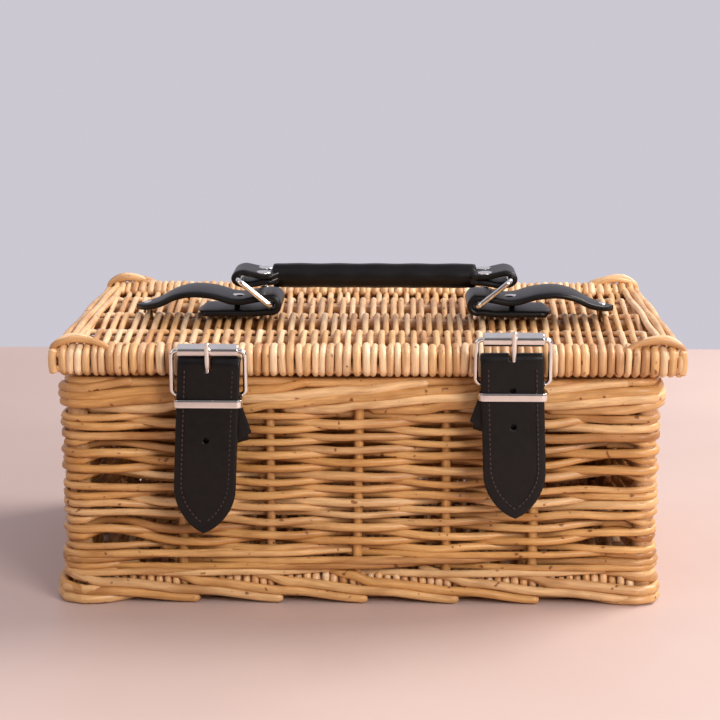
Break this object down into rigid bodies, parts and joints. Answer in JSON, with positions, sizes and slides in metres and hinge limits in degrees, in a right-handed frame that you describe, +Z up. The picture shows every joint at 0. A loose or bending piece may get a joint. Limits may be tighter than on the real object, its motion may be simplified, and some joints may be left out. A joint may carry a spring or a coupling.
{
  "type": "wicker picnic basket",
  "caption": "Rectangular woven willow basket with a hinged lid, a padded leather carrying handle on wire rings, and strap closures with roller buckles.",
  "frame": {"origin": "on the floor, under the middle of the basket's box", "axes": "+Z up, -Y towards the front with the buckles, +X to the right seen from the front"},
  "size_m": [0.317, 0.2243, 0.1626],
  "materials": {
    "wicker": "satin golden willow",
    "cane": "satin willow stick",
    "leather": "satin black",
    "rope": "matte cord",
    "nickel": "bright nickel"
  },
  "bodies": {
    "basket": {"base_weave": "wicker", "foot_border": "wicker", "lower_wale": "wicker", "top_border": "wicker", "front_weave": "wicker", "back_weave": "wicker", "left_weave": "wicker", "right_weave": "wicker", "base_sticks": "cane", "side_stakes": "cane", "corner_posts": "cane", "hinge_loops": "cane", "buckle_chape_left": "leather", "buckle_chape_right": "leather", "chape_rivets": "nickel", "chape_washers": "nickel"},
    "lid": {"lid_weave": "wicker", "lid_sticks": "cane", "lid_front_edge": "wicker", "lid_front_rod": "cane", "lid_back_edge": "wicker", "lid_back_rod": "cane", "lid_left_edge": "wicker", "lid_right_edge": "wicker", "lid_corner_ties": "wicker", "handle_tab_left": "leather", "handle_tab_right": "leather", "tab_rivets": "nickel", "tab_tip_rivets": "nickel", "tab_washers": "nickel"},
    "handle": {"grip_cover": "leather", "grip_core": "rope", "handle_loop_left": "leather", "handle_loop_right": "leather", "handle_rivets": "nickel"},
    "ring_left": {"handle_ring_left": "nickel"},
    "strap_left": {"strap_left": "leather"},
    "buckle_left": {"buckle_frame_left": "nickel"},
    "roller_left": {"buckle_roller_left": "nickel"},
    "prong_left": {"buckle_prong_left": "nickel"},
    "keeper_left": {"keeper_left": "nickel"},
    "ring_right": {"handle_ring_right": "nickel"},
    "strap_right": {"strap_right": "leather"},
    "buckle_right": {"buckle_frame_right": "nickel"},
    "roller_right": {"buckle_roller_right": "nickel"},
    "prong_right": {"buckle_prong_right": "nickel"},
    "keeper_right": {"keeper_right": "nickel"}
  },
  "joints": [
    {"name": "lid_hinge", "type": "hinge", "parent": "basket", "child": "lid", "pos_m": [0.0015, 0.1037, 0.1213], "axis": [-1, 0, 0], "range_deg": [0, 105]},
    {"name": "handle_lift", "type": "slide", "parent": "lid", "child": "handle", "axis": [0, 0, 1], "range_m": [0, 0.0045]},
    {"name": "ring_left_swing", "type": "hinge", "parent": "lid", "child": "ring_left", "pos_m": [-0.0515, 0.004, 0.1399], "axis": [0, 1, 0], "range_deg": [0, 10.5]},
    {"name": "strap_left_swing", "type": "hinge", "parent": "lid", "child": "strap_left", "pos_m": [-0.0765, -0.1057, 0.12895], "axis": [1, 0, 0], "range_deg": [0, 80], "deforming": ["strap_left"]},
    {"name": "buckle_left_tilt", "type": "hinge", "parent": "basket", "child": "buckle_left", "pos_m": [-0.0765, -0.1042, 0.1116], "axis": [1, 0, 0], "range_deg": [0, 40]},
    {"name": "roller_left_spin", "type": "hinge", "parent": "buckle_left", "child": "roller_left", "pos_m": [-0.0765, -0.1066, 0.1341], "axis": [1, 0, 0], "continuous": true},
    {"name": "prong_left_swing", "type": "hinge", "parent": "buckle_left", "child": "prong_left", "pos_m": [-0.0765, -0.1042, 0.1116], "axis": [1, 0, 0], "range_deg": [0, 25]},
    {"name": "keeper_left_slide", "type": "slide", "parent": "basket", "child": "keeper_left", "axis": [0, 0, 1], "range_m": [-0.006, 0]},
    {"name": "ring_right_swing", "type": "hinge", "parent": "lid", "child": "ring_right", "pos_m": [0.0595, 0.004, 0.1399], "axis": [0, -1, 0], "range_deg": [0, 10.5]},
    {"name": "strap_right_swing", "type": "hinge", "parent": "lid", "child": "strap_right", "pos_m": [0.0735, -0.1057, 0.12895], "axis": [1, 0, 0], "range_deg": [0, 80], "deforming": ["strap_right"]},
    {"name": "buckle_right_tilt", "type": "hinge", "parent": "basket", "child": "buckle_right", "pos_m": [0.0735, -0.1042, 0.1177], "axis": [1, 0, 0], "range_deg": [0, 40]},
    {"name": "roller_right_spin", "type": "hinge", "parent": "buckle_right", "child": "roller_right", "pos_m": [0.0735, -0.1066, 0.1402], "axis": [1, 0, 0], "continuous": true},
    {"name": "prong_right_swing", "type": "hinge", "parent": "buckle_right", "child": "prong_right", "pos_m": [0.0735, -0.1042, 0.1177], "axis": [1, 0, 0], "range_deg": [0, 25]},
    {"name": "keeper_right_slide", "type": "slide", "parent": "basket", "child": "keeper_right", "axis": [0, 0, 1], "range_m": [-0.006, 0]}
  ],
  "couplings": [
    {"joint": "ring_left_swing", "follows": "handle_lift", "rad_per_m": 40},
    {"joint": "ring_right_swing", "follows": "handle_lift", "rad_per_m": 40}
  ]
}
